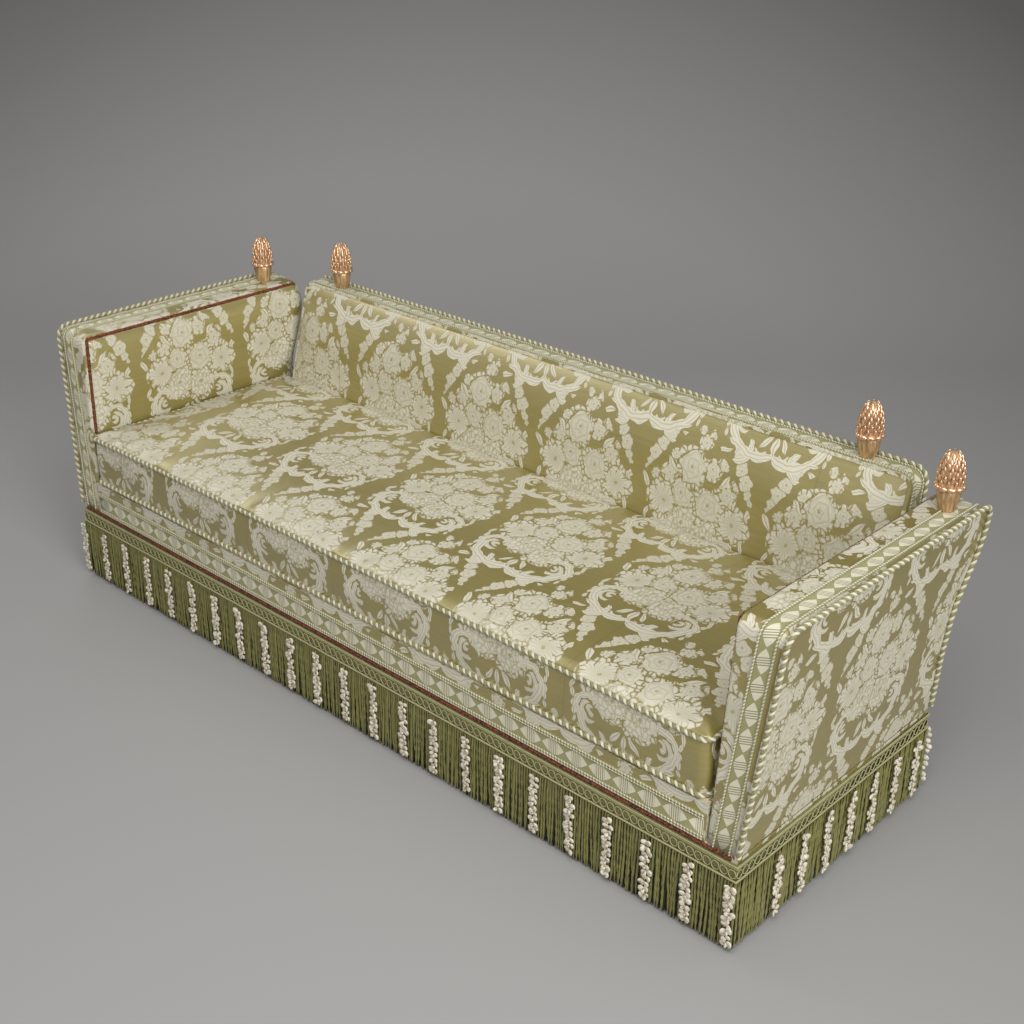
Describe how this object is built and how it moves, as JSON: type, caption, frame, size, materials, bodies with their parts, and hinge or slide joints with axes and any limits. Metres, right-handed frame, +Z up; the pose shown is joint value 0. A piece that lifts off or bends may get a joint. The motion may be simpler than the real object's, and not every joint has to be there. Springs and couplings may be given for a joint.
{
  "type": "knole sofa",
  "caption": "Long knole sofa with a raked back, let-down arms, loose seat cushion, carved finials, woven trimmings and a deep bullion fringe to the floor",
  "frame": {"origin": "middle of the sofa's box on the floor, under the seat", "axes": "+X along the sofa to the sitter's left arm, +Y from the front to the back, +Z up"},
  "size_m": [2.5114, 0.8762, 0.929],
  "materials": {
    "beech": "planed beech, unfinished inside the covers",
    "damask": "satin silk damask, olive gold ground with cream figure",
    "galloon": "woven galloon, sage ground with cream lozenges",
    "cord": "two-ply twisted cord, cream and olive",
    "gimp": "russet chenille gimp",
    "fringe": "olive bullion fringe",
    "heading": "looped olive fringe heading",
    "buds": "silk buds, ivory with brown hearts",
    "gilt_wood": "carved wood, water gilt and burnished",
    "hinge_brass": "drawn brass",
    "spring_steel": "oiled spring steel",
    "webbing": "jute webbing and hessian",
    "dust_cloth": "black cotton dust cover"
  },
  "bodies": {
    "base": {"front_rail": "beech", "back_rail": "beech", "side_rails": "beech", "cross_rails": "beech", "corner_blocks": "beech", "feet": "beech", "arm_ledges": "beech", "seat_rails": "beech", "seat_springs": "spring_steel", "seat_deck": "webbing", "dust_cover": "dust_cloth", "front_border": "damask", "base_covers": "damask", "front_galloon": "galloon", "front_gimp": "gimp", "fringe_heading": "heading", "fringe_front": "fringe", "fringe_back": "fringe", "fringe_left": "fringe", "fringe_right": "fringe", "bud_strings": "buds", "back_stiles": "beech", "back_rails": "beech", "back_webbing": "webbing", "back_pad": "damask", "back_border": "damask", "back_galloon": "galloon", "back_cord": "cord", "back_outer_panel": "damask", "back_left_finial": "gilt_wood", "back_right_finial": "gilt_wood", "base_hinge_leaves": "hinge_brass", "hinge_pins": "hinge_brass"},
    "right_arm": {"right_arm_posts": "beech", "right_arm_rails": "beech", "right_arm_webbing": "webbing", "right_arm_outer_panel": "damask", "right_arm_pad": "damask", "right_arm_border": "damask", "right_arm_galloon": "galloon", "right_arm_cord": "cord", "right_arm_gimp": "gimp", "right_arm_finial": "gilt_wood", "right_arm_hinge_leaves": "hinge_brass", "right_arm_stays": "hinge_brass"},
    "left_arm": {"left_arm_posts": "beech", "left_arm_rails": "beech", "left_arm_webbing": "webbing", "left_arm_outer_panel": "damask", "left_arm_pad": "damask", "left_arm_border": "damask", "left_arm_galloon": "galloon", "left_arm_cord": "cord", "left_arm_gimp": "gimp", "left_arm_finial": "gilt_wood", "left_arm_hinge_leaves": "hinge_brass", "left_arm_stays": "hinge_brass"},
    "cushion": {"seat_cushion": "damask", "seat_cushion_cords": "cord"}
  },
  "joints": [
    {"name": "right_arm_drop", "type": "hinge", "parent": "base", "child": "right_arm", "pos_m": [1.1895, 0, 0.23925], "axis": [0, 1, 0], "range_deg": [0, 60]},
    {"name": "left_arm_drop", "type": "hinge", "parent": "base", "child": "left_arm", "pos_m": [-1.1895, 0, 0.23925], "axis": [0, -1, 0], "range_deg": [0, 60]},
    {"name": "cushion_lift", "type": "slide", "parent": "base", "child": "cushion", "axis": [0, 0, 1], "range_m": [0, 0.35]}
  ]
}
